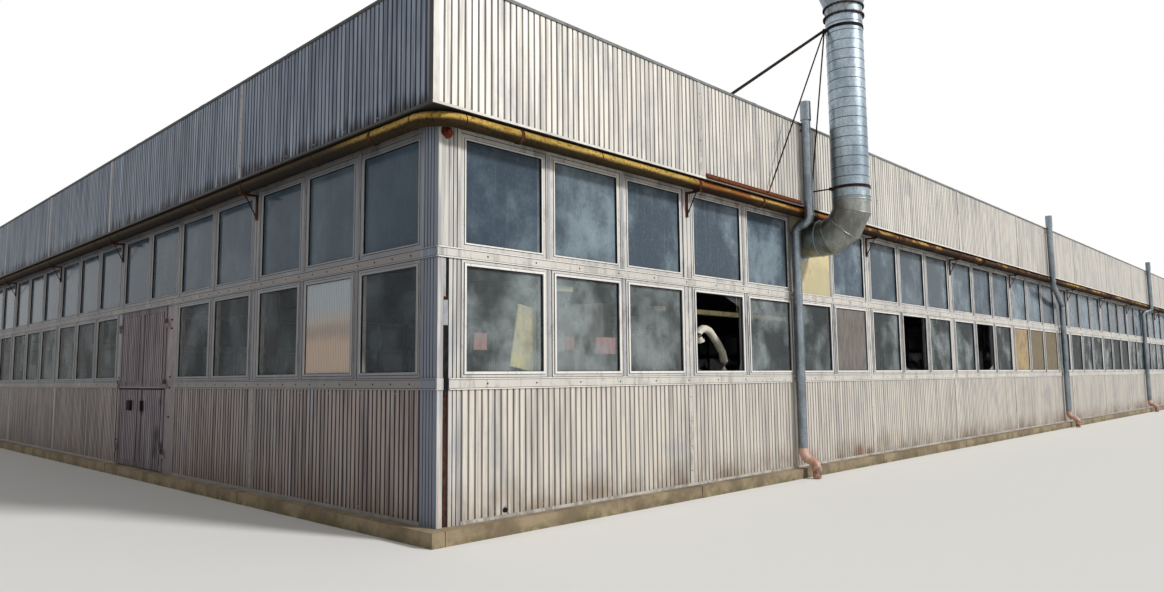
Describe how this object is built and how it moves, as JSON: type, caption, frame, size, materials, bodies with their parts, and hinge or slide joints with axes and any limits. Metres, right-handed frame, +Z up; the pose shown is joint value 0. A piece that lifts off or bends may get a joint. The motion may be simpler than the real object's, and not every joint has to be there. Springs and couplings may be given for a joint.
{
  "type": "factory building",
  "caption": "Single-storey factory hall with ribbed aluminium skin, two rows of windows, gas pipe, downpipes, ventilation duct and a double door.",
  "frame": {"origin": "middle of the floor plan at ground level", "axes": "+X along the long front wall, seen from outside from left to right; +Y from the front wall to the back wall; +Z up"},
  "size_m": [36.468, 25.3522, 7.085],
  "materials": {
    "floor_concrete": "worn cast concrete",
    "plinth_concrete": "weathered cast concrete",
    "inner_plaster": "painted render",
    "red_oxide_steel": "rusting red oxide primer",
    "grey_steel": "dull grey paint",
    "roof_felt": "mineral roofing felt",
    "plain_aluminium": "weathered mill finish",
    "ribbed_aluminium": "weathered ribbed sheet",
    "door_aluminium": "weathered ribbed sheet",
    "soffit_board": "dark dirty board",
    "white_trim": "white coated trim",
    "coping_sheet": "coated sheet metal",
    "yellow_paint": "yellow paint over rust",
    "rusty_steel": "rust",
    "galvanised_steel": "galvanised",
    "pipe_plastic": "faded sewer-pipe plastic",
    "cream_board": "cream painted panel",
    "dark_steel": "dark rusting steel",
    "window_glass": "dusty window glass"
  },
  "bodies": {
    "building": {"floor_slab": "floor_concrete", "plinth": "plinth_concrete", "dado_walls": "inner_plaster", "parapet_walls": "inner_plaster", "steel_columns": "red_oxide_steel", "roof_beams": "grey_steel", "roof_deck": "roof_felt", "front_dado_sheets": "ribbed_aluminium", "left_dado_sheets": "ribbed_aluminium", "back_dado_sheets": "ribbed_aluminium", "right_dado_sheets": "ribbed_aluminium", "front_fascia_sheets": "ribbed_aluminium", "left_fascia_sheets": "ribbed_aluminium", "back_fascia_sheets": "ribbed_aluminium", "right_fascia_sheets": "ribbed_aluminium", "cover_strips": "plain_aluminium", "drip_trims": "plain_aluminium", "window_bands": "plain_aluminium", "window_posts": "plain_aluminium", "front_window_frames": "plain_aluminium", "left_window_frames": "plain_aluminium", "back_window_frames": "plain_aluminium", "right_window_frames": "plain_aluminium", "front_glass": "window_glass", "left_glass": "window_glass", "back_glass": "window_glass", "right_glass": "window_glass", "corner_casings": "ribbed_aluminium", "soffits": "soffit_board", "fascia_trims": "white_trim", "copings": "coping_sheet", "gas_pipe": "yellow_paint", "pipe_brackets": "rusty_steel", "downpipes": "galvanised_steel", "downpipe_shoes": "pipe_plastic", "duct_panel": "cream_board", "duct_elbow": "galvanised_steel", "duct_stack": "galvanised_steel", "duct_flange": "dark_steel", "duct_head": "galvanised_steel", "duct_stays": "dark_steel", "door_frame": "plain_aluminium"},
    "left_leaf": {"left_door_leaf": "door_aluminium", "lock_case": "dark_steel"},
    "right_leaf": {"right_door_leaf": "door_aluminium", "door_pull": "dark_steel"}
  },
  "joints": [
    {"name": "left_door", "type": "hinge", "parent": "building", "child": "left_leaf", "pos_m": [-18.029, -3.683, 1.3], "axis": [0, 0, -1], "range_deg": [0, 105]},
    {"name": "right_door", "type": "hinge", "parent": "building", "child": "right_leaf", "pos_m": [-18.029, -5.617, 1.3], "axis": [0, 0, 1], "range_deg": [0, 105]}
  ]
}
